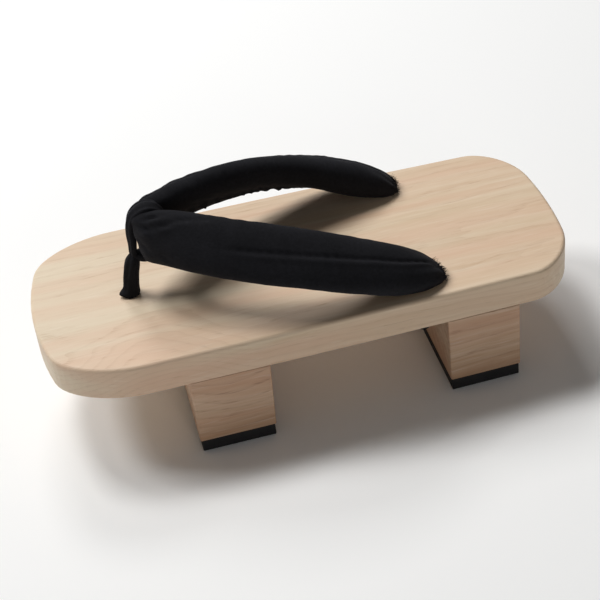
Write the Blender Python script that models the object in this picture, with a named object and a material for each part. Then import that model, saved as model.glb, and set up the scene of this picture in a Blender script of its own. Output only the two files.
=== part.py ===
"""A wooden geta sandal: a flat board on two cross teeth with rubber soles, and a padded cotton strap.

Metres, +Z up. +Y runs towards the toe, X runs across, and the floor is at z = 0. The shoe is the
same on its left and right halves, so each paired shape is made once for +X and mirrored.
"""

import math

import bmesh
import bpy
from mathutils import Matrix, Vector

# Board: a rounded slab, a little wider at the toe than at the heel.
BOARD_LENGTH = 0.260
BOARD_WIDTH = 0.109
BOARD_THICKNESS = 0.017
BOARD_TOP = 0.0613
SIDE_BULGE = 0.0010
TOE_FLARE = 0.02
TOE_CORNER = (0.0219, 0.0373)
HEEL_CORNER = (0.0298, 0.0217)
TOE_CROWN = 0.0119
HEEL_CROWN = 0.0062
TOP_ROUNDING = 0.0018
BOTTOM_EASE = 0.0003
CORNER_STEPS = 12
END_STEPS = 10
SIDE_STEPS = 6

# Teeth and their soles: where each tooth starts and ends along the shoe, at the top and the bottom.
GLUE_LINE = 0.00005
SOLE_THICKNESS = 0.0073
SOLE_INSET = 0.0006
TOOTH_EASE = 0.0007
SOLE_EASE = 0.0005
FRONT_TOOTH = {"top": (0.0658, 0.0270), "bottom": (0.0654, 0.0280)}
REAR_TOOTH = {"top": (-0.0597, -0.0959), "bottom": (-0.0604, -0.0961)}

# Holes through the board: one for the toe thong, two for the cords of the strap.
HOLE_RADIUS = 0.0042
FRONT_HOLE_Y = 0.0815
REAR_HOLE = (0.0385, -0.0520)
HOLE_SIDES = 24

# The gap that cloth keeps to whatever it lies on or is looped round.
CLOTH_GAP = 0.0003

# Below, height is measured from the top of the board, so it is negative under it.

# Strap: one row for each section of an arm, from the fold at the toe to the end at the heel.
# half_width runs across the flat of the arm, half_depth through its padding. tilt is how far the
# flat leans up from the horizontal, in degrees, with its inner edge the higher one.
ARM_COLUMNS = ("x", "y", "height", "half_width", "half_depth", "tilt")
ARM_SECTIONS = (
    (0.0026, 0.0748, 0.0392, 0.0048, 0.0032, 84.0),
    (0.0038, 0.0732, 0.0380, 0.0086, 0.0052, 82.0),
    (0.0062, 0.0686, 0.0363, 0.0121, 0.0070, 78.0),
    (0.0120, 0.0592, 0.0355, 0.0136, 0.0076, 67.0),
    (0.0194, 0.0478, 0.0347, 0.0141, 0.0078, 57.0),
    (0.0292, 0.0278, 0.0317, 0.0145, 0.0080, 49.0),
    (0.0370, 0.0046, 0.0268, 0.0146, 0.0080, 39.0),
    (0.0408, -0.0192, 0.0190, 0.0144, 0.0083, 29.0),
    (0.0402, -0.0390, 0.0103, 0.0130, 0.0090, 26.0),
    (0.0389, -0.0525, 0.0046, 0.0106, 0.0072, 14.0),
    (0.0379, -0.0595, 0.0019, 0.0080, 0.0042, 6.0),
    (0.0376, -0.0624, 0.0010, 0.0056, 0.0018, 2.0),
)
ARM_SQUARENESS = 2.35
ARM_STATIONS = 36
ARM_SIDES = 22

# Toe thong: the loop round the fold of the strap, on the middle plane. half_depth runs along the
# plane and half_width across it.
LOOP_SECTIONS = (
    # y, height, half_depth, half_width
    (0.0765, 0.0236, 0.0021, 0.0038),
    (0.0764, 0.0290, 0.0019, 0.0040),
    (0.0761, 0.0354, 0.0019, 0.0043),
    (0.0750, 0.0408, 0.0020, 0.0047),
    (0.0727, 0.0456, 0.0022, 0.0051),
    (0.0696, 0.0487, 0.0024, 0.0053),
    (0.0664, 0.0495, 0.0024, 0.0053),
    (0.0634, 0.0476, 0.0023, 0.0050),
    (0.0612, 0.0430, 0.0022, 0.0045),
    (0.0606, 0.0360, 0.0020, 0.0040),
    (0.0624, 0.0288, 0.0020, 0.0038),
    (0.0666, 0.0231, 0.0020, 0.0038),
    (0.0712, 0.0202, 0.0021, 0.0038),
    (0.0749, 0.0204, 0.0022, 0.0038),
)
LOOP_STATIONS = 46
LOOP_SIDES = 12

# The stem of the thong, from its tail under the board, through its knot and hole, up to the loop.
STEM_SECTIONS = (
    # y, height, radius
    (0.0815, -0.0330, 0.0022),
    (0.0815, -0.0300, 0.0026),
    (0.0815, -0.0282, 0.0050),
    (0.0815, -0.0258, 0.0064),
    (0.0815, -0.0236, 0.0057),
    (0.0815, -0.0212, 0.0064),
    (0.0815, -0.0188, 0.0052),
    (0.0815, -0.0168, 0.0037),
    (0.0815, -0.0080, 0.0037),
    (0.0815, 0.0000, 0.0039),
    (0.0812, 0.0016, 0.0043),
    (0.0807, 0.0050, 0.0038),
    (0.0797, 0.0110, 0.0038),
    (0.0784, 0.0170, 0.0037),
    (0.0773, 0.0212, 0.0032),
    (0.0767, 0.0234, 0.0022),
)
STEM_STATIONS = 38
STEM_SIDES = 16

# The cord of each arm, from its tail under the board up into the padding. The knot is flat, so that
# the board hides it from the side.
CORD_SECTIONS = (
    # height, radius
    (-0.0274, 0.0021),
    (-0.0262, 0.0042),
    (-0.0240, 0.0052),
    (-0.0222, 0.0047),
    (-0.0204, 0.0053),
    (-0.0186, 0.0048),
    (-0.0168, 0.0034),
    (0.0000, 0.0034),
    (0.0040, 0.0034),
)
CORD_STATIONS = 22
CORD_SIDES = 14

# Finishes, as linear colours read from the real thing.
PALE_WOOD = (0.73, 0.59, 0.45)
TOOTH_WOOD = (0.60, 0.45, 0.34)
BLACK_RUBBER = (0.012, 0.012, 0.013)
BLACK_COTTON = (0.010, 0.010, 0.012)

BOARD_UNDERSIDE = BOARD_TOP - BOARD_THICKNESS
STRAIGHT_EDGE_ANGLE = math.radians(35)


def clear_scene():
    """Leave nothing of the scene that the script is run in."""
    for obj in list(bpy.data.objects):
        bpy.data.objects.remove(obj, do_unlink=True)


def make_material(name, colour, roughness):
    """A Principled material of one finish."""
    material = bpy.data.materials.new(name)
    material.use_nodes = True
    shader = material.node_tree.nodes["Principled BSDF"]
    shader.inputs["Base Color"].default_value = (*colour, 1.0)
    shader.inputs["Roughness"].default_value = roughness
    shader.inputs["Metallic"].default_value = 0.0
    return material


def make_object(name, bm, material=None):
    """Turn a bmesh into a named object with its faces pointing out."""
    bmesh.ops.recalc_face_normals(bm, faces=bm.faces)
    mesh = bpy.data.meshes.new(name)
    bm.to_mesh(mesh)
    bm.free()
    mesh.shade_smooth()
    mesh.set_sharp_from_angle(angle=STRAIGHT_EDGE_ANGLE)
    obj = bpy.data.objects.new(name, mesh)
    bpy.context.scene.collection.objects.link(obj)
    if material:
        mesh.materials.append(material)
    return obj


def make_helper(name, bm):
    """A shape that only cuts or joins, so it is kept out of a render."""
    helper = make_object(name, bm)
    helper.hide_render = True
    helper.display_type = "WIRE"
    return helper


def add_boolean(obj, other, operation):
    """Join another shape to an object, or cut it away."""
    modifier = obj.modifiers.new(f"{operation.lower()} {other.name}", "BOOLEAN")
    modifier.operation = operation
    modifier.solver = "EXACT"
    modifier.object = other


def smooth_rows(rows, count, place, closed=False):
    """Read count rows from a smooth curve through the rows of a table.

    The first place columns say where a row is, and the new rows lie evenly along that path.
    """
    points = [Vector(row) for row in rows]
    if closed:
        points = [points[-1], *points, points[0], points[1]]
    else:
        points = [points[0], *points, points[-1]]
    steps = [math.dist(a[:place], b[:place]) for a, b in zip(points, points[1:])]
    spans = len(points) - 3
    total = sum(steps[1 : spans + 1])
    result = []
    for k in range(count):
        along = total * k / (count if closed else count - 1)
        span = 1
        while span < spans and along > steps[span]:
            along -= steps[span]
            span += 1
        step = steps[span]
        t = min(along / step, 1.0)
        p0, p1, p2, p3 = points[span - 1 : span + 3]
        m1 = (p2 - p0) * step / (steps[span - 1] + step)
        m2 = (p3 - p1) * step / (step + steps[span + 1])
        near = p1 * (2 * t**3 - 3 * t**2 + 1) + m1 * (t**3 - 2 * t**2 + t)
        far = p2 * (3 * t**2 - 2 * t**3) + m2 * (t**3 - t**2)
        result.append(near + far)
    return result


def loft(rings, closed=False):
    """A closed skin over rings of points, capped at its two ends or joined into a hoop."""
    bm = bmesh.new()
    loops = [[bm.verts.new(point) for point in ring] for ring in rings]
    sides = len(loops[0])
    pairs = list(zip(loops, loops[1:]))
    if closed:
        pairs.append((loops[-1], loops[0]))
    for near, far in pairs:
        for i in range(sides):
            j = (i + 1) % sides
            bm.faces.new((near[i], near[j], far[j], far[i]))
    if not closed:
        bm.faces.new(loops[0])
        bm.faces.new(loops[-1])
    return bm


def tangents(centres, closed=False):
    """The direction of a path at each of its points."""
    last = len(centres) - 1
    result = []
    for i in range(len(centres)):
        if closed:
            step = centres[(i + 1) % len(centres)] - centres[i - 1]
        else:
            step = centres[min(i + 1, last)] - centres[max(i - 1, 0)]
        result.append(step.normalized())
    return result


def board_half_width(y):
    """Half of the board's width, at a place along its straight side."""
    along = y / (BOARD_LENGTH / 2)
    return (BOARD_WIDTH / 2 - SIDE_BULGE * along**2) * (1 + TOE_FLARE * along)


def corner_points(corner, end):
    """The elliptical corner at +X of the end that lies towards end (1 toe, -1 heel)."""
    across, along = corner
    points = []
    for k in range(CORNER_STEPS + 1):
        turn = math.pi / 2 * k / CORNER_STEPS
        x = BOARD_WIDTH / 2 - across + across * math.cos(turn)
        y = BOARD_LENGTH / 2 - along + along * math.sin(turn)
        points.append((x, end * y))
    return points


def crowned(x, y):
    """Bow a point of the plain rounded rectangle into the board's real outline."""
    across = x / (BOARD_WIDTH / 2)
    along = y / (BOARD_LENGTH / 2)
    crown = TOE_CROWN if along > 0 else HEEL_CROWN
    new_y = y - crown * across**2 * along
    new_x = (x - SIDE_BULGE * along**2 * across) * (1 + TOE_FLARE * along)
    return new_x, new_y


def board_outline():
    """The board's outline from above, anticlockwise."""
    toe = corner_points(TOE_CORNER, 1)
    heel = corner_points(HEEL_CORNER, -1)[::-1]
    side_start = heel[-1][1]
    side_length = toe[0][1] - side_start
    side = [(BOARD_WIDTH / 2, side_start + side_length * k / SIDE_STEPS) for k in range(1, SIDE_STEPS)]
    right = heel + side + toe
    left = [(-x, y) for x, y in reversed(right)]
    toe_end = [(toe[-1][0] * (1 - 2 * k / END_STEPS), toe[-1][1]) for k in range(1, END_STEPS)]
    heel_end = [(heel[0][0] * (2 * k / END_STEPS - 1), heel[0][1]) for k in range(1, END_STEPS)]
    return [crowned(x, y) for x, y in right + toe_end + left + heel_end]


def make_hole_cutter(name, x, y):
    """A round drill, longer than the board is thick."""
    bm = bmesh.new()
    bmesh.ops.create_cone(
        bm,
        cap_ends=True,
        segments=HOLE_SIDES,
        radius1=HOLE_RADIUS,
        radius2=HOLE_RADIUS,
        depth=BOARD_THICKNESS * 2,
        matrix=Matrix.Translation((x, y, BOARD_TOP - BOARD_THICKNESS / 2)),
    )
    return make_helper(name, bm)


def make_board(material):
    """The board with its rounded rim and its three holes."""
    bm = bmesh.new()
    base = bm.faces.new([bm.verts.new((x, y, BOARD_UNDERSIDE)) for x, y in board_outline()])
    extruded = bmesh.ops.extrude_face_region(bm, geom=[base], use_keep_orig=True)
    upper = [item for item in extruded["geom"] if isinstance(item, bmesh.types.BMVert)]
    bmesh.ops.translate(bm, verts=upper, vec=(0, 0, BOARD_THICKNESS))
    return finish_board(bm, material)


def finish_board(bm, material):
    """Round the rims of the raw board and drill it."""
    middle = BOARD_UNDERSIDE + BOARD_THICKNESS / 2
    level = [e for e in bm.edges if abs(e.verts[0].co.z - e.verts[1].co.z) < BOTTOM_EASE]
    upper = [e for e in level if e.verts[0].co.z > middle]
    lower = [e for e in level if e.verts[0].co.z < middle]
    bmesh.ops.bevel(bm, geom=upper, offset=TOP_ROUNDING, segments=4, profile=0.5, affect="EDGES", material=-1)
    bmesh.ops.bevel(bm, geom=lower, offset=BOTTOM_EASE, segments=1, profile=0.5, affect="EDGES", material=-1)
    board = make_object("board", bm, material)
    add_boolean(board, make_hole_cutter("front_drill", 0.0, FRONT_HOLE_Y), "DIFFERENCE")
    for name, side in (("right_drill", 1), ("left_drill", -1)):
        add_boolean(board, make_hole_cutter(name, side * REAR_HOLE[0], REAR_HOLE[1]), "DIFFERENCE")
    return board


def block(bottom, top, low, high, inset=0.0):
    """A block between two heights whose ends are flush with the board's sides."""
    bm = bmesh.new()
    layers = []
    for (front, back), z in ((bottom, low), (top, high)):
        plan = (
            (board_half_width(front) - inset, front - inset),
            (inset - board_half_width(front), front - inset),
            (inset - board_half_width(back), back + inset),
            (board_half_width(back) - inset, back + inset),
        )
        layers.append([bm.verts.new((x, y, z)) for x, y in plan])
    lower, upper = layers
    bm.faces.new(lower)
    bm.faces.new(upper)
    for i in range(len(lower)):
        j = (i + 1) % len(lower)
        bm.faces.new((lower[i], lower[j], upper[j], upper[i]))
    return bm


def ease_edges(bm, edges, amount):
    """Take the sharpness off some edges of a block."""
    bmesh.ops.bevel(bm, geom=edges, offset=amount, segments=2, profile=0.5, affect="EDGES", material=-1)


def make_tooth(name, tooth, material):
    """A cross tooth, glued under the board."""
    low = SOLE_THICKNESS + GLUE_LINE
    bm = block(tooth["bottom"], tooth["top"], low, BOARD_UNDERSIDE - GLUE_LINE)
    uprights = [e for e in bm.edges if abs(e.verts[0].co.z - e.verts[1].co.z) > SOLE_THICKNESS]
    ease_edges(bm, uprights, TOOTH_EASE)
    return make_object(name, bm, material)


def make_sole(name, tooth, material):
    """The rubber sole under a tooth."""
    bm = block(tooth["bottom"], tooth["bottom"], 0.0, SOLE_THICKNESS, SOLE_INSET)
    ease_edges(bm, list(bm.edges), SOLE_EASE)
    return make_object(name, bm, material)


def arm_ring(section, tangent):
    """The points round one section of the right-hand arm."""
    row = dict(zip(ARM_COLUMNS, section))
    centre = Vector((row["x"], row["y"], BOARD_TOP + row["height"]))
    inward = tangent.cross(Vector((0, 0, 1))).normalized()
    inward *= -math.copysign(1.0, inward.x)
    upward = inward.cross(tangent).normalized()
    upward *= math.copysign(1.0, upward.z)
    tilt = math.radians(row["tilt"])
    across = inward * math.cos(tilt) + upward * math.sin(tilt)
    through = upward * math.cos(tilt) - inward * math.sin(tilt)
    power = 2 / ARM_SQUARENESS
    points = []
    for k in range(ARM_SIDES):
        turn = 2 * math.pi * k / ARM_SIDES
        wide = math.copysign(abs(math.cos(turn)) ** power, math.cos(turn)) * row["half_width"]
        deep = math.copysign(abs(math.sin(turn)) ** power, math.sin(turn)) * row["half_depth"]
        point = centre + across * wide + through * deep
        point.z = max(point.z, BOARD_TOP + CLOTH_GAP)
        points.append(point)
    return points


def arm_shape(side):
    """The padded arm at +X (side 1) or at -X (side -1)."""
    sections = smooth_rows(ARM_SECTIONS, ARM_STATIONS, 3)
    directions = tangents([Vector(section[:3]) for section in sections])
    bm = loft([arm_ring(section, direction) for section, direction in zip(sections, directions)])
    for vert in bm.verts:
        vert.co.x *= side
    return bm


def round_ring(centre, radius, sides):
    """A level circle of points round a centre."""
    turns = [2 * math.pi * k / sides for k in range(sides)]
    return [centre + Vector((math.cos(t), math.sin(t), 0)) * radius for t in turns]


def cord_shape(side):
    """The cord of one arm, through its hole to the stopping knot."""
    rings = []
    for height, radius in smooth_rows(CORD_SECTIONS, CORD_STATIONS, 1):
        centre = Vector((side * REAR_HOLE[0], REAR_HOLE[1], BOARD_TOP + height))
        rings.append(round_ring(centre, radius, CORD_SIDES))
    return loft(rings)


def stem_shape(grow):
    """The stem of the toe thong, made larger all round by grow."""
    rings = []
    for y, height, radius in smooth_rows(STEM_SECTIONS, STEM_STATIONS, 2):
        rings.append(round_ring(Vector((0, y, BOARD_TOP + height)), radius + grow, STEM_SIDES))
    return loft(rings)


def loop_shape(grow):
    """The loop of the toe thong round the fold of the strap, made larger all round by grow."""
    sections = smooth_rows(LOOP_SECTIONS, LOOP_STATIONS, 2, closed=True)
    centres = [Vector((0, y, BOARD_TOP + height)) for y, height, _, _ in sections]
    rings = []
    for section, centre, tangent in zip(sections, centres, tangents(centres, closed=True)):
        half_depth, half_width = section[2] + grow, section[3] + grow
        outward = tangent.cross(Vector((1, 0, 0)))
        ring = []
        for k in range(LOOP_SIDES):
            turn = 2 * math.pi * k / LOOP_SIDES
            deep = outward * math.cos(turn) * half_depth
            ring.append(centre + deep + Vector((math.sin(turn) * half_width, 0, 0)))
        rings.append(ring)
    return loft(rings, closed=True)


def make_strap(material):
    """Both arms joined at the fold, with their cords, pinched where the toe thong holds them."""
    strap = make_object("strap", arm_shape(1), material)
    add_boolean(strap, make_helper("left_arm", arm_shape(-1)), "UNION")
    for name, side in (("right_cord", 1), ("left_cord", -1)):
        add_boolean(strap, make_helper(name, cord_shape(side)), "UNION")
    for name, shape in (("loop_groove", loop_shape), ("stem_groove", stem_shape)):
        add_boolean(strap, make_helper(name, shape(CLOTH_GAP)), "DIFFERENCE")
    return strap


def make_thong(material):
    """The toe thong: its stem and its loop, in one piece of cloth."""
    thong = make_object("front_thong", stem_shape(0.0), material)
    add_boolean(thong, make_helper("loop", loop_shape(0.0)), "UNION")
    return thong


def main():
    clear_scene()
    pale_wood = make_material("paulownia", PALE_WOOD, 0.55)
    tooth_wood = make_material("paulownia_end", TOOTH_WOOD, 0.60)
    rubber = make_material("sole_rubber", BLACK_RUBBER, 0.75)
    cotton = make_material("strap_cotton", BLACK_COTTON, 0.90)
    thong_cotton = make_material("thong_cotton", BLACK_COTTON, 0.85)
    make_board(pale_wood)
    for name, tooth in (("front", FRONT_TOOTH), ("rear", REAR_TOOTH)):
        make_tooth(f"{name}_tooth", tooth, tooth_wood)
        make_sole(f"{name}_sole", tooth, rubber)
    make_strap(cotton)
    make_thong(thong_cotton)


main()
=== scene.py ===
"""Looks for the geta sandal: wood, rubber and cotton, with the strap and the toe thong as cloth.

Metres, +Z up. +Y runs towards the toe, X runs across, and the floor is at z = 0.
"""

import math
import random

import bmesh
import bpy
from mathutils import Matrix, Vector, noise


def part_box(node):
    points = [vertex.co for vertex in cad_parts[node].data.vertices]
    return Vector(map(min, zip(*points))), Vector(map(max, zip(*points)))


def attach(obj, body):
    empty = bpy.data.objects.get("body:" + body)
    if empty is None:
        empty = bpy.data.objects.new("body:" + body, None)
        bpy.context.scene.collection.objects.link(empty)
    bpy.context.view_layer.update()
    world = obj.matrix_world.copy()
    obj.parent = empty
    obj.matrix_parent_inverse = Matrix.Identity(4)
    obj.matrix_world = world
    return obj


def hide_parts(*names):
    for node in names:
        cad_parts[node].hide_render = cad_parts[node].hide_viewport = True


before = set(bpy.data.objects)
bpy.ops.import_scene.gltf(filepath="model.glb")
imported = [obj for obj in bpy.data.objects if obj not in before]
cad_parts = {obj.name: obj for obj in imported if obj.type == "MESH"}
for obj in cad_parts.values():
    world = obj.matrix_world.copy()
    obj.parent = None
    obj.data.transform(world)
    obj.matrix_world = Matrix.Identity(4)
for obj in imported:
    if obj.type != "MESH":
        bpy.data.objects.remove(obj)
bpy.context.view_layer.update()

MM = 0.001
BOARD_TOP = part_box("board")[1].z
CLOTH_GAP = 0.3 * MM

# Strap: sections of the arm at +X from the fold at the toe to the end at the heel, heights from the
# board's top. half_width is across the flat of the arm, half_depth through its padding, and tilt is
# how far the flat leans up, in degrees, with its inner edge the higher one. A section is an oval
# with its corners filled out by the squareness, where 2 is a true oval.
ARM_COLUMNS = ("x", "y", "height", "half_width", "half_depth", "tilt")
ARM_SECTIONS = (
    (0.0027, 0.0735, 0.0340, 0.0111, 0.0022, 87.0),
    (0.0040, 0.0719, 0.0344, 0.0128, 0.0042, 84.0),
    (0.0066, 0.0678, 0.0350, 0.0133, 0.0066, 79.0),
    (0.0120, 0.0592, 0.0355, 0.0136, 0.0076, 67.0),
    (0.0194, 0.0478, 0.0347, 0.0141, 0.0078, 57.0),
    (0.0292, 0.0278, 0.0317, 0.0145, 0.0080, 49.0),
    (0.0370, 0.0046, 0.0268, 0.0146, 0.0080, 39.0),
    (0.0408, -0.0192, 0.0190, 0.0144, 0.0083, 29.0),
    (0.0402, -0.0390, 0.0103, 0.0130, 0.0090, 26.0),
    (0.0389, -0.0525, 0.0046, 0.0106, 0.0072, 14.0),
    (0.0379, -0.0595, 0.0019, 0.0080, 0.0042, 6.0),
    (0.0376, -0.0624, 0.0010, 0.0056, 0.0018, 2.0),
)
ARM_SQUARENESS = 2.35
ARM_STATIONS = 150
ARM_SIDES = 80

# The sewn seam along the middle of each arm's outer face, in degrees round the section. The points
# of a section stand closer together there, and at the seam opposite, by this share.
SEAM_TURN = 92.0
SEAM_DENSITY = 0.25
SEAM_START = 0.24
SEAM_END = 0.96
SEAM_DEPTH = 0.75 * MM
UNDER_SEAM_TURN = SEAM_TURN + 180.0

# The padding is blown up as cloth from a section this much smaller, or by this share of its half
# depth where it is thin. No point moves further than the limit.
PUFF_ROOM = 0.45 * MM
PUFF_SHARE = 0.15
PUFF_LIMIT = 1.3 * MM
PUFF_PRESSURE = 40.0
PUFF_FRAMES = 20
HELD_RINGS = 5

# What the sewing does to the cloth of an arm: how far each part stands out, and the length of a stitch.
CRUMPLE = 0.16 * MM
BROAD_WAVE = 0.30 * MM
STITCH_LENGTH = 4.2 * MM
SEAM_LIP = 0.42 * MM
SEAM_PUCKER = 0.30 * MM
UNDER_RIDGE = 1.5 * MM
CROSS_WRINKLE = 0.45 * MM
END_PLEAT = 0.32 * MM
PLEATS_ROUND = 9

# Short folds in the cloth beside the toe thong: share along the arm, degrees round it, half length
# in share, half width in degrees, depth, and how far it slants, in degrees for each unit of share.
FOLDS = (
    (0.070, 34.0, 0.030, 7.0, 0.0015, -160.0),
    (0.052, 62.0, 0.020, 7.0, 0.0011, 300.0),
    (0.112, 58.0, 0.030, 6.0, 0.0010, -150.0),
    (0.040, 100.0, 0.022, 9.0, 0.0006, 420.0),
    (0.165, 42.0, 0.036, 6.0, 0.0008, -120.0),
    (0.120, 124.0, 0.030, 8.0, 0.0005, 260.0),
    (0.225, 34.0, 0.024, 6.0, 0.0006, -90.0),
)

# Toe thong: the loop round the fold of the strap, on the middle plane.
LOOP_SECTIONS = (
    # y, height, half_depth, half_width
    (0.0765, 0.0232, 0.0018, 0.0024),
    (0.0763, 0.0290, 0.0019, 0.0027),
    (0.0761, 0.0350, 0.0021, 0.0030),
    (0.0753, 0.0405, 0.0022, 0.0033),
    (0.0736, 0.0447, 0.0021, 0.0038),
    (0.0704, 0.0472, 0.0021, 0.0044),
    (0.0667, 0.0478, 0.0021, 0.0046),
    (0.0634, 0.0462, 0.0021, 0.0044),
    (0.0612, 0.0422, 0.0020, 0.0040),
    (0.0608, 0.0355, 0.0018, 0.0034),
    (0.0626, 0.0284, 0.0020, 0.0034),
    (0.0668, 0.0229, 0.0028, 0.0040),
    (0.0710, 0.0211, 0.0031, 0.0040),
    (0.0746, 0.0215, 0.0026, 0.0032),
)
LOOP_STATIONS = 130
LOOP_SIDES = 36

# The stem of the thong, from its tail under the board up to the loop.
STEM_SECTIONS = (
    # y, height, radius
    (0.0815, -0.0332, 0.0034),
    (0.0815, -0.0304, 0.0028),
    (0.0815, -0.0284, 0.0046),
    (0.0815, -0.0260, 0.0062),
    (0.0815, -0.0236, 0.0065),
    (0.0815, -0.0212, 0.0063),
    (0.0815, -0.0188, 0.0054),
    (0.0815, -0.0168, 0.0037),
    (0.0815, -0.0080, 0.0037),
    (0.0815, 0.0000, 0.0038),
    (0.0813, 0.0014, 0.0042),
    (0.0807, 0.0046, 0.0038),
    (0.0797, 0.0110, 0.0038),
    (0.0784, 0.0165, 0.0038),
    (0.0775, 0.0203, 0.0033),
    (0.0769, 0.0228, 0.0020),
    (0.0768, 0.0240, 0.0012),
)
STEM_STATIONS = 120
STEM_SIDES = 40
STEM_KNOT = (-0.0310, -0.0165)

# The cord of each arm, from its tail under the board up into the padding.
REAR_HOLE = (0.0385, -0.0520)
CORD_SECTIONS = (
    # height, radius
    (-0.0292, 0.0027),
    (-0.0275, 0.0022),
    (-0.0262, 0.0038),
    (-0.0240, 0.0051),
    (-0.0222, 0.0054),
    (-0.0204, 0.0053),
    (-0.0186, 0.0047),
    (-0.0168, 0.0034),
    (0.0000, 0.0034),
    (0.0040, 0.0034),
)
CORD_STATIONS = 60
CORD_SIDES = 28
CORD_KNOT = (-0.0268, -0.0180)

# Loose threads at the cut ends of the cloth, drawn three times as thick as they are, so that they
# show: on the last rings of each arm, and where the loop pinches the stem.
THREAD_RADIUS = 0.15 * MM
THREAD_SIDES = 3
THREAD_STATIONS = 4
END_THREADS = 170
END_RINGS = 4
PINCH_THREADS = 12
PINCH_Y = 0.0776
PINCH_HEIGHTS = (0.0222, 0.0246)

# The photograph's camera: where it stands, and how it is turned, in degrees.
CAMERA_PLACE = (-0.58061, 0.10119, 0.50977)
CAMERA_YAW = -9.861
CAMERA_PITCH = 38.925
CAMERA_ROLL = -6.700
CAMERA_LENS = 91.13
CAMERA_SENSOR = 36.0

# The softboxes: direction from the sandal, in degrees round from +X and up from the floor, and the
# light that each gives to a surface that faces it, in watts per square metre.
SOFTBOXES = (
    ("middle_softbox", 32.0, 62.0, 1.38),
    ("toe_softbox", 62.0, 48.0, 1.30),
    ("far_softbox", 0.0, 48.0, 0.72),
    ("near_fill", 185.0, 18.0, 0.22),
)
SOFTBOX_DISTANCE = 2.2
SOFTBOX_SIZE = 0.56

# The white room: the light that it gives, how bright its walls look, and how far its floor reaches.
ROOM_LIGHT = 0.10
ROOM_WALLS = 0.85
FLOOR_REACH = 1.3
FLOOR_SIDES = 128


def linear(code):
    """An sRGB hex colour as the linear colour that a shader takes."""
    channels = []
    for start in (0, 2, 4):
        value = int(code[start : start + 2], 16) / 255
        channels.append(value / 12.92 if value <= 0.04045 else ((value + 0.055) / 1.055) ** 2.4)
    return (*channels, 1.0)


def add(tree, kind, sockets=None, **settings):
    """Add one shader node, with its settings, and each socket given a value or linked to an output."""
    made = tree.nodes.new("ShaderNode" + kind)
    for name, value in settings.items():
        setattr(made, name, value)
    for name, value in (sockets or {}).items():
        if isinstance(value, bpy.types.NodeSocket):
            tree.links.new(value, made.inputs[name])
        else:
            made.inputs[name].default_value = value
    return made


def new_material(name):
    """An empty material with its output, and its tree."""
    material = bpy.data.materials.new(name)
    material.use_nodes = True
    tree = material.node_tree
    tree.nodes.clear()
    return material, tree


def finish_material(tree, shader):
    """Link the shader to the surface."""
    add(tree, "OutputMaterial", {"Surface": shader.outputs[0]})


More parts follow.
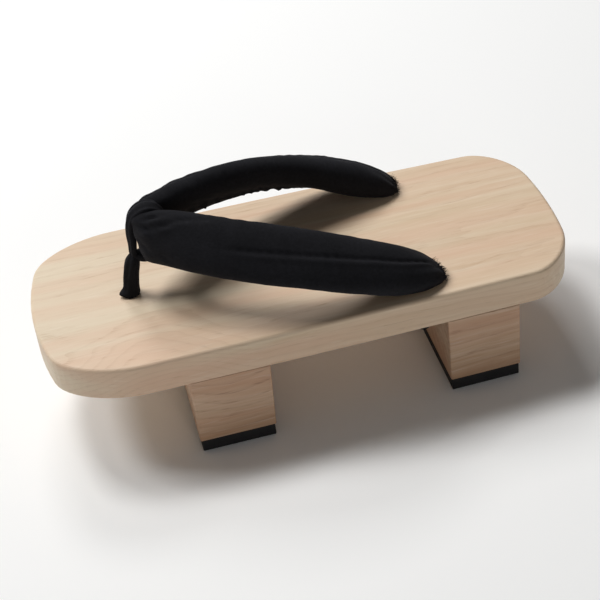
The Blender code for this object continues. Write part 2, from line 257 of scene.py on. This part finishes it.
def paulownia(name, tones, pith, spacing, branch, end, strength):
    """Paulownia, planed and left bare: a pale open-grained wood.

    It gives soft streaks along the grain, faint growth lines where the saw met the rings, the
    short dark dashes of its open pores, and pale ray flecks that are partly painted highlight. It is
    matt, with a dull shine at a low angle. The tones are its ground, its streaks, its blush, its
    growth lines and a tone of painted light or shade, which comes in along an axis between two
    places. The branch is where the rings are pushed aside.
    along an axis between two places. The branch is where the rings are pushed aside.
    """
    pale, tan, flush, line, painted_shading_tone = (linear(code) for code in tones)
    material, tree = new_material(name)
    place = add(tree, "TexCoord").outputs["Object"]

    # The trunk was never straight, so the grain wanders about 4 mm over some 120 mm of length.
    slow = add(tree, "Mapping", {"Vector": place, "Scale": (1.0, 0.22, 1.0)}).outputs[0]
    wander = add(tree, "TexNoise", {"Vector": slow, "Scale": 38.0, "Detail": 3.0, "Roughness": 0.5})
    middle = (0.5, 0.5, 0.5)
    centred = add(tree, "VectorMath", {0: wander.outputs["Color"], 1: middle}, operation="SUBTRACT")
    reach = (12 * MM, 0.0, 12 * MM)
    sway = add(tree, "VectorMath", {0: centred.outputs[0], 1: reach}, operation="MULTIPLY")
    bent = add(tree, "VectorMath", {0: place, 1: sway.outputs[0]}, operation="ADD")

    # Growth rings are tubes round the pith, pushed aside where a branch grew.
    centre = (pith[0], 0.0, pith[1])
    from_pith = add(tree, "VectorMath", {0: bent.outputs[0], 1: centre}, operation="SUBTRACT")
    crosswise = (1.0, 0.0, 1.0)
    flat = add(tree, "VectorMath", {0: from_pith.outputs[0], 1: crosswise}, operation="MULTIPLY")
    ring_radius = add(tree, "VectorMath", {0: flat.outputs[0]}, operation="LENGTH").outputs["Value"]
    apart = add(tree, "VectorMath", {0: bent.outputs[0], 1: branch}, operation="DISTANCE")
    to_branch = apart.outputs["Value"]
    push = add(
        tree,
        "MapRange",
        {"Value": to_branch, "From Min": 4 * MM, "From Max": 52 * MM, "To Min": 18 * MM, "To Max": 0.0},
        interpolation_type="SMOOTHSTEP",
    )
    pushed = add(tree, "Math", {0: ring_radius, 1: push.outputs[0]}, operation="ADD")
    rings = add(tree, "Math", {0: pushed.outputs[0], 1: spacing}, operation="DIVIDE")
    phase = add(tree, "Math", {0: rings.outputs[0]}, operation="FRACT")
    early = add(
        tree,
        "MapRange",
        {"Value": phase.outputs[0], "From Min": 0.0, "From Max": 0.42, "To Min": 1.0, "To Max": 0.0},
        interpolation_type="SMOOTHSTEP",
    )

    # Streaks 1 to 6 mm wide and 60 to 200 mm long, and a blush in bands some 16 mm wide.
    long_way = add(tree, "Mapping", {"Vector": bent.outputs[0], "Scale": (1.0, 0.032, 1.0)}).outputs[0]
    streak = add(tree, "TexNoise", {"Vector": long_way, "Scale": 300.0, "Detail": 4.0, "Roughness": 0.6})
    streaks = add(tree, "MapRange", {"Value": streak.outputs[0], "From Min": 0.36, "From Max": 0.68})
    broad = add(tree, "TexNoise", {"Vector": long_way, "Scale": 62.0, "Detail": 2.0, "Roughness": 0.5})
    blush = add(tree, "MapRange", {"Value": broad.outputs[0], "From Min": 0.40, "From Max": 0.66})

    # Pores are 0.2 mm wide and a few millimetres long. They are drawn about 0.5 mm wide and 10 mm
    # long, so that they show at the size of the picture.
    fibre_way = add(tree, "Mapping", {"Vector": bent.outputs[0], "Scale": (1.0, 0.05, 1.0)}).outputs[0]
    fibre = add(tree, "TexNoise", {"Vector": fibre_way, "Scale": 1500.0, "Detail": 2.0, "Roughness": 0.6})
    pores = add(tree, "MapRange", {"Value": fibre.outputs[0], "From Min": 0.55, "From Max": 0.72})
    early_pores = add(tree, "Math", {0: early.outputs[0], 1: 0.75, 2: 0.25}, operation="MULTIPLY_ADD")
    pore_mark = add(tree, "Math", {0: pores.outputs[0], 1: early_pores.outputs[0]}, operation="MULTIPLY")

    # Pale flecks about 1 mm wide and 20 mm long: the fine rays, partly the wood's own figure and partly
    # painted highlight where they would glint.
    ray = add(
        tree,
        "TexNoise",
        {"Vector": fibre_way, "Scale": 900.0, "Detail": 1.0, "Roughness": 0.5, "Distortion": 0.3},
    )
    ray_flecks_and_glints = add(tree, "MapRange", {"Value": ray.outputs[0], "From Min": 0.60, "From Max": 0.74})

    # Painted light or shade comes in along an axis, lighter or darker towards one end, and the wood flushes
    # round the branch.
    axis, low, high = end
    along = add(tree, "SeparateXYZ", {0: place}).outputs[axis]
    painted_shading_ramp = add(tree, "MapRange", {"Value": along, "From Min": low, "From Max": high})
    swirl = add(
        tree,
        "MapRange",
        {"Value": to_branch, "From Min": 8 * MM, "From Max": 45 * MM, "To Min": 1.0, "To Max": 0.0},
    )

    # Each tone is laid over the ones before it, by a share of where it shows.
    layers = (
        (tan, streaks, 0.50 * strength),
        # Painted light or shade along the axis: lighter towards the board's toe, darker towards the teeth's
        # feet.
        (painted_shading_tone, painted_shading_ramp, 0.7),
        (flush, blush, 0.55 * strength),
        (flush, swirl, 0.45),
        (line, early, 0.09 * strength),
        (line, pore_mark, 0.34 * strength),
        # Painted highlight, in part: pale flecks for the rays' glints.
        (linear("f4eadb"), ray_flecks_and_glints, 0.13),
    )
    colour = pale
    for tone, shows, share in layers:
        amount = add(tree, "Math", {0: shows.outputs[0], 1: share}, operation="MULTIPLY").outputs[0]
        mixed = add(tree, "Mix", {0: amount, 6: colour, 7: tone}, data_type="RGBA")
        colour = mixed.outputs[2]

    mark = pore_mark.outputs[0]
    height = add(tree, "Math", {0: mark, 1: -1.0, 2: 0.5}, operation="MULTIPLY_ADD").outputs[0]
    relief = add(tree, "Bump", {"Height": height, "Strength": 0.35, "Distance": 0.15 * MM})
    rough = add(tree, "Math", {0: mark, 1: 0.15, 2: 0.50}, operation="MULTIPLY_ADD").outputs[0]
    shader = add(
        tree,
        "BsdfPrincipled",
        {"Base Color": colour, "Roughness": rough, "Normal": relief.outputs[0], "Specular IOR Level": 0.35},
    )
    finish_material(tree, shader)
    return material


def sole_rubber():
    """Black sheet rubber, cut with a knife: dead matt, with a faint grain and a little grey dust."""
    material, tree = new_material("sheet_rubber")
    place = add(tree, "TexCoord").outputs["Object"]
    # Grain 0.7 mm across, and dust in patches of some 11 mm.
    grain = add(tree, "TexNoise", {"Vector": place, "Scale": 1400.0, "Detail": 3.0, "Roughness": 0.6})
    dust = add(tree, "TexNoise", {"Vector": place, "Scale": 90.0, "Detail": 3.0, "Roughness": 0.6})
    amount = add(tree, "MapRange", {"Value": dust.outputs[0], "From Min": 0.35, "From Max": 0.75}).outputs[0]
    tones = {0: amount, 6: linear("161617"), 7: linear("232224")}
    colour = add(tree, "Mix", tones, data_type="RGBA").outputs[2]
    relief = add(tree, "Bump", {"Height": grain.outputs[0], "Strength": 0.4, "Distance": 0.1 * MM})
    rough = add(tree, "Math", {0: grain.outputs[0], 1: 0.2, 2: 0.62}, operation="MULTIPLY_ADD").outputs[0]
    shader = add(
        tree,
        "BsdfPrincipled",
        {"Base Color": colour, "Roughness": rough, "Normal": relief.outputs[0], "Specular IOR Level": 0.4},
    )
    finish_material(tree, shader)
    return material


def black_cotton(name, dark, light, thread):
    """Plain-woven cotton dyed black.

    It gives no gloss, a soft grey bloom at the edges, and a fine grid of threads.
    """
    material, tree = new_material(name)
    cloth = add(tree, "TexCoord").outputs["UV"]
    parts = add(tree, "SeparateXYZ", {0: cloth})
    turn = math.tau / thread
    waves = []
    for axis in ("X", "Y"):
        angle = add(tree, "Math", {0: parts.outputs[axis], 1: turn}, operation="MULTIPLY").outputs[0]
        waves.append(add(tree, "Math", {0: angle}, operation="SINE").outputs[0])
    weave = add(tree, "Math", {0: waves[0], 1: waves[1]}, operation="MULTIPLY").outputs[0]
    # Slubs are the thick places of the yarn, 1 to 2 mm long. The wear is in patches of some 20 mm.
    slub = add(tree, "TexNoise", {"Vector": cloth, "Scale": 700.0, "Detail": 3.0, "Roughness": 0.6})
    uneven = add(tree, "Math", {0: slub.outputs[0], 1: 1.2}, operation="MULTIPLY").outputs[0]
    height = add(tree, "Math", {0: weave, 1: uneven}, operation="ADD").outputs[0]
    worn = add(tree, "TexNoise", {"Vector": cloth, "Scale": 45.0, "Detail": 4.0, "Roughness": 0.6})
    mixed = add(tree, "Math", {0: worn.outputs[0], 1: slub.outputs[0]}, operation="MULTIPLY").outputs[0]
    amount = add(tree, "MapRange", {"Value": mixed, "From Min": 0.14, "From Max": 0.40}).outputs[0]
    tones = {0: amount, 6: linear(dark), 7: linear(light)}
    colour = add(tree, "Mix", tones, data_type="RGBA").outputs[2]
    relief = add(tree, "Bump", {"Height": height, "Strength": 0.35, "Distance": 0.12 * MM})
    shader = add(
        tree,
        "BsdfPrincipled",
        {
            "Base Color": colour,
            "Roughness": 0.92,
            "Normal": relief.outputs[0],
            "Specular IOR Level": 0.15,
            "Sheen Weight": 0.06,
            "Sheen Roughness": 0.45,
            "Sheen Tint": linear("a8a8b4"),
        },
    )
    finish_material(tree, shader)
    return material


def smooth_rows(rows, count, place, closed=False):
    """Read count rows from a smooth curve through the rows of a table.

    The first place columns say where a row is, and the new rows lie evenly along that path.
    """
    points = [Vector(row) for row in rows]
    if closed:
        points = [points[-1], *points, points[0], points[1]]
    else:
        points = [points[0], *points, points[-1]]
    steps = [math.dist(a[:place], b[:place]) for a, b in zip(points, points[1:])]
    spans = len(points) - 3
    total = sum(steps[1 : spans + 1])
    result = []
    for k in range(count):
        along = total * k / (count if closed else count - 1)
        span = 1
        while span < spans and along > steps[span]:
            along -= steps[span]
            span += 1
        step = steps[span]
        t = min(along / step, 1.0)
        p0, p1, p2, p3 = points[span - 1 : span + 3]
        m1 = (p2 - p0) * step / (steps[span - 1] + step)
        m2 = (p3 - p1) * step / (step + steps[span + 1])
        near = p1 * (2 * t**3 - 3 * t**2 + 1) + m1 * (t**3 - 2 * t**2 + t)
        far = p2 * (3 * t**2 - 2 * t**3) + m2 * (t**3 - t**2)
        result.append(near + far)
    return result


def directions(centres, closed=False):
    """The direction of a path at each of its points."""
    last = len(centres) - 1
    result = []
    for i in range(len(centres)):
        if closed:
            step = centres[(i + 1) % len(centres)] - centres[i - 1]
        else:
            step = centres[min(i + 1, last)] - centres[max(i - 1, 0)]
        result.append(step.normalized())
    return result


def next_loop(bm, loop):
    """Draw the open end of a tube out by one ring, and give the new ring in the same order."""
    made = bmesh.ops.extrude_edge_only(bm, edges=rim(loop))["geom"]
    fresh = {v for v in made if isinstance(v, bmesh.types.BMVert)}
    return [next(e.other_vert(v) for e in v.link_edges if e.other_vert(v) in fresh) for v in loop]


def rim(loop):
    """The edges that join a ring's points."""
    members = set(loop)
    found = []
    for v in loop:
        for e in v.link_edges:
            if e.other_vert(v) in members and e not in found:
                found.append(e)
    return found


def settle_order(bm, points):
    """Put the points in this order, and the edges and faces after them, so that each run is the same.

    What was kept of the mesh in Python before this no longer names the same points.
    """
    for number, v in enumerate(points):
        v.index = number
    bm.verts.sort()
    for parts in (bm.edges, bm.faces):
        ordered = sorted(parts, key=lambda part: sorted(v.index for v in part.verts))
        for number, part in enumerate(ordered):
            part.index = number
        parts.sort()


def draw_tube(bm, rings, closed=False):
    """Draw a tube of cloth out ring by ring, with its length and girth as its UV map, in metres."""
    sides = len(rings[0])
    loops = [bmesh.ops.create_circle(bm, cap_ends=False, radius=MM, segments=sides)["verts"]]
    for _ in rings[1:]:
        loops.append(next_loop(bm, loops[-1]))
    for loop, ring in zip(loops, rings):
        for v, point in zip(loop, ring):
            v.co = point
    if closed:
        bmesh.ops.bridge_loops(bm, edges=rim(loops[-1]) + rim(loops[0]))
    else:
        for end in (loops[0], loops[-1]):
            bmesh.ops.contextual_create(bm, geom=rim(end))
    map_cloth(bm, loops)
    return loops


def map_cloth(bm, loops):
    """Lay the UV map along and round a tube, in metres of cloth."""
    layer = bm.loops.layers.uv.get("cloth") or bm.loops.layers.uv.new("cloth")
    place = {}
    along = 0.0
    previous = None
    girth = max(sum((a.co - b.co).length for a, b in zip(r, r[1:] + r[:1])) for r in loops)
    for ring in loops:
        centre = sum((v.co for v in ring), Vector()) / len(ring)
        if previous is not None:
            along += (centre - previous).length
        previous = centre
        for k, v in enumerate(ring):
            place[v] = (along, k / len(ring))
    for face in {f for v in place for f in v.link_faces}:
        shares = [place[corner.vert][1] for corner in face.loops]
        wraps = max(shares) - min(shares) > 0.5
        lengths = [place[corner.vert][0] for corner in face.loops]
        returns = max(lengths) - min(lengths) > along / 2
        for corner, share, length in zip(face.loops, shares, lengths):
            if wraps and share < 0.5:
                share += 1.0
            if returns and length < along / 2:
                length += along
            corner[layer].uv = (length, share * girth)


def make_piece(name, bm, material):
    """Turn a bmesh into a piece of the sandal."""
    bmesh.ops.recalc_face_normals(bm, faces=bm.faces)
    settle_order(bm, sorted(bm.verts, key=lambda v: v.co[:]))
    mesh = bpy.data.meshes.new(name)
    bm.to_mesh(mesh)
    bm.free()
    mesh.shade_smooth()
    mesh.materials.append(material)
    piece = bpy.data.objects.new(name, mesh)
    bpy.context.scene.collection.objects.link(piece)
    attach(piece, "root")
    return piece


def bell(value, middle, spread):
    """A smooth hump of height 1."""
    return math.exp(-(((value - middle) / spread) ** 2))


def ease(value, low, high):
    """A smooth step from 0 at low to 1 at high."""
    t = min(max((value - low) / (high - low), 0.0), 1.0)
    return t * t * (3 - 2 * t)


def section_turns():
    """Where the points of an arm's section lie, in degrees round it, closer at its two seams."""
    turns = []
    for k in range(ARM_SIDES):
        share = k / ARM_SIDES
        pull = (1 - SEAM_DENSITY) * math.sin(2 * math.tau * share) / (2 * math.tau)
        turns.append(SEAM_TURN + 360.0 * (share - pull))
    return turns


def arm_ring(section, tangent, turns):
    """The points round one section of the arm at +X, before its padding is blown up."""
    row = dict(zip(ARM_COLUMNS, section))
    centre = Vector((row["x"], row["y"], BOARD_TOP + row["height"]))
    inward = tangent.cross(Vector((0, 0, 1))).normalized()
    inward *= -math.copysign(1.0, inward.x)
    upward = inward.cross(tangent).normalized()
    upward *= math.copysign(1.0, upward.z)
    tilt = math.radians(row["tilt"])
    across = inward * math.cos(tilt) + upward * math.sin(tilt)
    through = upward * math.cos(tilt) - inward * math.sin(tilt)
    room = min(PUFF_ROOM, row["half_depth"] * PUFF_SHARE)
    power = 2 / ARM_SQUARENESS
    points = []
    for degrees in turns:
        turn = math.radians(degrees)
        cosine, sine = math.cos(turn), math.sin(turn)
        wide = math.copysign(abs(cosine) ** power, cosine) * (row["half_width"] - room)
        deep = math.copysign(abs(sine) ** power, sine) * (row["half_depth"] - room)
        point = centre + across * wide + through * deep
        point.z = max(point.z, BOARD_TOP + CLOTH_GAP)
        points.append(point)
    return points


def blow_up(bm, loops, held):
    """Fill an arm with air as a bag of cloth that is held at its seams and ends.

    It runs on the tube's own fine mesh, because a voxel remesh would lose the rings and the UV map
    that the seams and the weave follow.
    """
    bm.verts.index_update()
    mesh = bpy.data.meshes.new("bag")
    bm.to_mesh(mesh)
    bag = bpy.data.objects.new("bag", mesh)
    bpy.context.scene.collection.objects.link(bag)
    group = bag.vertex_groups.new(name="held")
    group.add([v.index for v in held], 1.0, "REPLACE")
    cloth = bag.modifiers.new("cloth", "CLOTH")
    cloth.settings.use_pressure = True
    cloth.settings.uniform_pressure_force = PUFF_PRESSURE
    cloth.settings.effector_weights.gravity = 0.0
    cloth.settings.vertex_group_mass = group.name
    cloth.point_cache.frame_end = PUFF_FRAMES
    for frame_number in range(1, PUFF_FRAMES + 1):
        bpy.context.scene.frame_set(frame_number)
    blown = bag.evaluated_get(bpy.context.evaluated_depsgraph_get()).to_mesh()
    for v in (v for loop in loops for v in loop):
        step = blown.vertices[v.index].co - v.co
        if step.length > PUFF_LIMIT:
            step *= PUFF_LIMIT / step.length
        v.co += step
    bpy.context.scene.frame_set(1)
    bpy.data.objects.remove(bag)
    bpy.data.meshes.remove(mesh)


def sewn_detail(share, degrees, point):
    """How far the cloth of an arm stands out, or is drawn in, at one place."""
    stretched = Vector((point.x * 0.6, point.y, point.z))
    crumple = noise.noise(stretched * 170.0) * CRUMPLE
    broad = noise.noise(stretched * 55.0 + Vector((7.0, 0.0, 0.0))) * BROAD_WAVE

    # The seam is a groove with the lower half's cloth lying over it as a lip, puckered by its stitches.
    seam = ease(share, SEAM_START, SEAM_START + 0.14) * (1 - ease(share, SEAM_END - 0.05, SEAM_END))
    stitch = 0.75 + 0.25 * math.sin(point.y * math.tau / STITCH_LENGTH)
    groove = -SEAM_DEPTH * seam * bell(degrees, SEAM_TURN - 1.5, 3.2) * stitch
    lip = SEAM_LIP * seam * bell(degrees, SEAM_TURN + 6.5, 5.0)
    crinkle = noise.noise(Vector((point.y * 330.0, 3.0, 0.0)))
    pucker = crinkle * SEAM_PUCKER * seam * bell(degrees, SEAM_TURN + 4.0, 24.0)

    # The seam underneath has its raw edges outside, as a low ragged ridge.
    tufts = noise.noise(Vector((point.y * 300.0, 9.0, 4.0)))
    frays = noise.noise(Vector((point.y * 900.0, 2.0, 4.0)))
    ragged = 0.5 + tufts + 0.6 * frays
    under = ease(share, 0.10, 0.16) * (1 - ease(share, 0.60, 0.72))
    ridge = max(ragged, 0.0) * UNDER_RIDGE * under * bell(degrees, UNDER_SEAM_TURN - 4.0, 8.0)

    # Cross wrinkles where the upper edge is the inside of the bend, and pleats at the gathered ends.
    bend = bell(share, 0.22, 0.14) + 0.6 * bell(share, 0.55, 0.16)
    wrinkle = noise.noise(Vector((point.y * 210.0, degrees * 0.012, 1.5)))
    cross = wrinkle * CROSS_WRINKLE * bend * bell(degrees, 25.0, 48.0)
    gathered = 0.7 * bell(share, 0.0, 0.05) + bell(share, 1.0, 0.09)
    pleats = math.sin(math.radians(degrees) * PLEATS_ROUND + 1.3) * END_PLEAT * gathered

    # Each fold is a crease with the cloth standing up a little along one side of it.
    folds = 0.0
    for at, middle, reach, width, depth, slant in FOLDS:
        along = (share - at) / reach
        if abs(along) < 2.0:
            aside = degrees - middle - slant * (share - at)
            crease = bell(aside, 0.0, width) - 0.55 * bell(aside, 1.9 * width, width)
            folds -= depth * bell(along, 0.0, 0.8) * crease
    return crumple + broad + groove + lip + pucker + ridge + cross + pleats + folds


def make_strap(material):
    """Both arms of the strap, joined on the middle plane, with the threads of their ends."""
    turns = section_turns()
    sections = smooth_rows(ARM_SECTIONS, ARM_STATIONS, 3)
    ways = directions([Vector(section[:3]) for section in sections])
    rings = [arm_ring(section, way, turns) for section, way in zip(sections, ways)]
    bm = bmesh.new()
    loops = draw_tube(bm, rings)
    bmesh.ops.recalc_face_normals(bm, faces=bm.faces)
    settle_order(bm, [v for loop in loops for v in loop])
    bm.verts.ensure_lookup_table()
    loops = [bm.verts[start : start + ARM_SIDES] for start in range(0, len(bm.verts), ARM_SIDES)]
    half = ARM_SIDES // 2
    held = [v for loop in loops[:HELD_RINGS] + loops[-HELD_RINGS:] for v in loop]
    held += [v for loop in loops for k in (0, half) for v in (loop[k - 1], loop[k], loop[k + 1])]
    blow_up(bm, loops, held)
    bm.normal_update()
    moves = []
    for i, loop in enumerate(loops):
        share = i / (ARM_STATIONS - 1)
        for v, degrees in zip(loop, turns):
            moves.append((v, v.normal * sewn_detail(share, degrees % 360.0, v.co)))
    for v, move in moves:
        v.co += move
        v.co.z = max(v.co.z, BOARD_TOP + CLOTH_GAP)
    draws = random.Random(11)
    for _ in range(END_THREADS):
        loop = loops[-1 - draws.randrange(END_RINGS)]
        v = draws.choice(loop)
        # None grows from under the arm, because it would go into the board.
        if v.normal.z > -0.5:
            outward = (v.normal + Vector((0, -draws.uniform(0.2, 1.6), 0))).normalized()
            draw_thread(bm, v.co, outward, draws.uniform(0.8, 2.6) * MM, draws)
    middle_cut(bm)
    strap = make_piece("padded_strap", bm, material)
    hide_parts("strap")
    return strap


def middle_cut(bm):
    """Cut an arm on the middle plane and mirror it, so that both arms are one skin."""
    geometry = bm.verts[:] + bm.edges[:] + bm.faces[:]
    middle = {"plane_co": (0, 0, 0), "plane_no": (1, 0, 0)}
    bmesh.ops.bisect_plane(bm, geom=geometry, dist=1e-6, clear_inner=True, **middle)
    geometry = bm.verts[:] + bm.edges[:] + bm.faces[:]
    bmesh.ops.mirror(bm, geom=geometry, matrix=Matrix.Identity(4), merge_dist=1e-5, axis="X")


def draw_thread(bm, root, way, length, draws):
    """One loose thread: thin, bent, pointed at its end, and rooted a little way inside the cloth."""
    side = way.orthogonal().normalized()
    other = way.cross(side)
    bend = side * draws.uniform(-0.6, 0.6) + other * draws.uniform(-0.6, 0.6)
    turns = [math.tau * k / THREAD_SIDES for k in range(THREAD_SIDES)]
    rings = []
    for k in range(THREAD_STATIONS):
        share = k / (THREAD_STATIONS - 1)
        centre = root + way * length * (share - 0.15) + bend * length * share * share
        radius = THREAD_RADIUS * (1 - 0.7 * share)
        rings.append([centre + (side * math.cos(t) + other * math.sin(t)) * radius for t in turns])
    draw_tube(bm, rings)


def round_ring(centre, radius, sides, shape):
    """A level ring of points whose radius is shaped by the turn."""
    turns = [math.tau * k / sides for k in range(sides)]
    return [centre + Vector((math.cos(t), math.sin(t), 0)) * radius * shape(t) for t in turns]


def knot_shape(turn, height, span):
    """The wraps of a tied knot between two heights: they climb aslant round it."""
    low, high = span
    inside = ease(height, low, low + 2 * MM) * (1 - ease(height, high - 2 * MM, high))
    climb = (height - low) / (high - low)
    wraps = 0.14 * math.sin(2 * turn + climb * 1.5 * math.tau)
    creases = 0.06 * math.sin(3 * turn - climb * 2 * math.tau)
    return 1 + inside * (wraps + creases)


def make_cords(material):
    """The cords of both arms, through the board to a knot under it."""
    bm = bmesh.new()
    for side in (1, -1):
        rings = []
        for height, radius in smooth_rows(CORD_SECTIONS, CORD_STATIONS, 1):
            centre = Vector((side * REAR_HOLE[0], REAR_HOLE[1], BOARD_TOP + height))

            def shape(turn, height=height):
                creases = 0.05 * math.cos(5 * turn + height * 300.0)
                return knot_shape(turn * side, height, CORD_KNOT) + creases

            rings.append(round_ring(centre, radius, CORD_SIDES, shape))
        draw_tube(bm, rings)
    cords = make_piece("strap_cords", bm, material)
    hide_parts("strap")
    return cords


def make_stem(material):
    """The stem of the toe thong: a strip of cotton rolled lengthwise, knotted under the board."""
    bm = bmesh.new()
    rings = []
    for y, height, radius in smooth_rows(STEM_SECTIONS, STEM_STATIONS, 2):
        centre = Vector((0, y, BOARD_TOP + height))
        above = ease(height, 0.0, 2 * MM)
        flare = bell(height, 1.2 * MM, 2.6 * MM) * above

        def shape(turn, height=height, above=above, flare=flare):
            twist = height * 60.0
            rolled = 0.07 * math.cos(3 * turn + 0.6 + twist) + 0.045 * math.cos(7 * turn - twist)
            edge = 0.12 * above * bell((turn - 2.6 - twist) % math.tau, math.pi, 0.35)
            toe_side = 0.42 * flare * max(math.sin(turn - 0.25), 0.0) ** 3
            return knot_shape(turn, height, STEM_KNOT) + rolled * (0.3 + 0.7 * above) - edge + toe_side

        rings.append(round_ring(centre, radius, STEM_SIDES, shape))
    draw_tube(bm, rings)
    draws = random.Random(5)
    for _ in range(PINCH_THREADS):
        turn = draws.uniform(0.0, math.tau)
        ahead = 0.8 + 0.4 * math.sin(turn)
        way = Vector((math.cos(turn) * 0.6, ahead, draws.uniform(-0.3, 0.7))).normalized()
        root = Vector((0, PINCH_Y, BOARD_TOP + draws.uniform(*PINCH_HEIGHTS)))
        draw_thread(bm, root, way, draws.uniform(0.7, 1.6) * MM, draws)
    stem = make_piece("thong_stem", bm, material)
    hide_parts("front_thong")
    return stem


def make_loop(material):
    """The loop of the toe thong round the fold of the strap, in lengthwise folds."""
    sections = smooth_rows(LOOP_SECTIONS, LOOP_STATIONS, 2, closed=True)
    centres = [Vector((0, y, BOARD_TOP + height)) for y, height, _, _ in sections]
    rings = []
    for i, (section, centre, way) in enumerate(zip(sections, centres, directions(centres, closed=True))):
        outward = way.cross(Vector((1, 0, 0)))
        around = math.tau * i / LOOP_STATIONS
        ring = []
        for k in range(LOOP_SIDES):
            turn = math.tau * k / LOOP_SIDES
            broad = 0.15 * math.cos(6 * turn + 1.5 * math.sin(around))
            fine = 0.05 * math.cos(11 * turn + 2 * around)
            fold = 1 + broad + fine
            deep = outward * math.cos(turn) * section[2] * fold
            wide = Vector((math.sin(turn) * section[3] * (0.9 + 0.1 * fold), 0, 0))
            ring.append(centre + deep + wide)
        rings.append(ring)
    bm = bmesh.new()
    draw_tube(bm, rings, closed=True)
    loop = make_piece("thong_loop", bm, material)
    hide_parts("front_thong")
    return loop


def paint(node, material):
    """Give a CAD node its real finish."""
    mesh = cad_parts[node].data
    mesh.materials.clear()
    mesh.materials.append(material)


def make_floor():
    """A pale plain round floor, no wider than the lamps light it."""
    bm = bmesh.new()
    bmesh.ops.create_circle(bm, cap_ends=True, segments=FLOOR_SIDES, radius=FLOOR_REACH)
    mesh = bpy.data.meshes.new("floor")
    bm.to_mesh(mesh)
    bm.free()
    material, tree = new_material("white_studio_paper")
    matt_white = {"Base Color": linear("fafaf9"), "Roughness": 0.9, "Specular IOR Level": 0.1}
    shader = add(tree, "BsdfPrincipled", matt_white)
    finish_material(tree, shader)
    mesh.materials.append(material)
    floor = bpy.data.objects.new("floor", mesh)
    bpy.context.scene.collection.objects.link(floor)


def add_softbox(name, turn, rise, light):
    """A lamp behind a square of white cloth, far off and facing the middle of the sandal."""
    turn, rise = math.radians(turn), math.radians(rise)
    way = Vector((math.cos(rise) * math.cos(turn), math.cos(rise) * math.sin(turn), math.sin(rise)))
    lamp = bpy.data.lights.new(name, "AREA")
    lamp.shape = "SQUARE"
    lamp.size = SOFTBOX_SIZE
    lamp.energy = light * math.pi * SOFTBOX_DISTANCE**2
    holder = bpy.data.objects.new(name, lamp)
    holder.location = Vector((0, 0, BOARD_TOP)) + way * SOFTBOX_DISTANCE
    holder.rotation_euler = way.to_track_quat("Z", "Y").to_euler()
    bpy.context.scene.collection.objects.link(holder)


def light_studio():
    """A broad bank of softboxes above and behind the sandal, a weak one in front, and a white room.

    The walls look white to the camera, but give the sandal only a little light.
    """
    world = bpy.data.worlds.new("white_room")
    world.use_nodes = True
    tree = world.node_tree
    tree.nodes.clear()
    seen = add(tree, "LightPath").outputs["Is Camera Ray"]
    strength = add(tree, "MapRange", {"Value": seen, "To Min": ROOM_LIGHT, "To Max": ROOM_WALLS}).outputs[0]
    room = add(tree, "Background", {"Color": (1.0, 1.0, 1.0, 1.0), "Strength": strength})
    add(tree, "OutputWorld", {"Surface": room.outputs[0]})
    bpy.context.scene.world = world
    for row in SOFTBOXES:
        add_softbox(*row)
    bpy.context.scene.view_settings.view_transform = "Standard"


def place_camera():
    """The photograph's own viewpoint."""
    yaw, pitch, roll = (math.radians(a) for a in (CAMERA_YAW, CAMERA_PITCH, CAMERA_ROLL))
    ahead = Vector((math.cos(yaw) * math.cos(pitch), math.sin(yaw) * math.cos(pitch), -math.sin(pitch)))
    right = ahead.cross(Vector((0, 0, 1))).normalized()
    above = right.cross(ahead)
    rolled_right = right * math.cos(roll) + above * math.sin(roll)
    rolled_above = above * math.cos(roll) - right * math.sin(roll)
    data = bpy.data.cameras.new("camera")
    data.lens = CAMERA_LENS
    data.sensor_width = CAMERA_SENSOR
    camera = bpy.data.objects.new("camera", data)
    turn = Matrix((rolled_right, rolled_above, -ahead)).transposed().to_4x4()
    camera.matrix_world = Matrix.Translation(CAMERA_PLACE) @ turn
    bpy.context.scene.collection.objects.link(camera)
    bpy.context.scene.camera = camera


def main():
    """Make the studio, give the wood and the rubber their finishes, and make the cloth pieces."""
    place_camera()
    light_studio()
    make_floor()
    board_wood = paulownia(
        "bare_paulownia",
        ("dfcbb0", "caac88", "d9b195", "a67f5c", "e0d1b8"),
        pith=(-0.018, 0.150),
        spacing=0.0034,
        branch=(-0.060, 0.078, 0.050),
        # Painted light: the board is painted lighter towards the toe.
        end=("Y", 0.02, 0.12),
        strength=1.0,
    )
    tooth_wood = paulownia(
        "bare_paulownia_offcut",
        ("dcc6ad", "b69475", "c39a7d", "774c33", "ac7c55"),
        pith=(0.010, -0.050),
        spacing=0.0060,
        branch=(-0.050, 0.046, 0.052),
        # Painted shade: the teeth are painted darker and redder towards the floor.
        end=("Z", 0.034, 0.004),
        strength=1.5,
    )
    rubber = sole_rubber()
    paint("board", board_wood)
    paint("front_tooth", tooth_wood)
    paint("rear_tooth", tooth_wood)
    paint("front_sole", rubber)
    paint("rear_sole", rubber)
    # Thread spacing is 0.35 mm. It is drawn at 0.7 mm, so that it shows.
    strap_cloth = black_cotton("black_cotton_cloth", "151518", "1e1e22", 0.7 * MM)
    thong_cloth = black_cotton("black_cotton_strip", "151518", "202024", 0.7 * MM)
    make_strap(strap_cloth)
    make_cords(strap_cloth)
    make_stem(thong_cloth)
    make_loop(thong_cloth)


main()
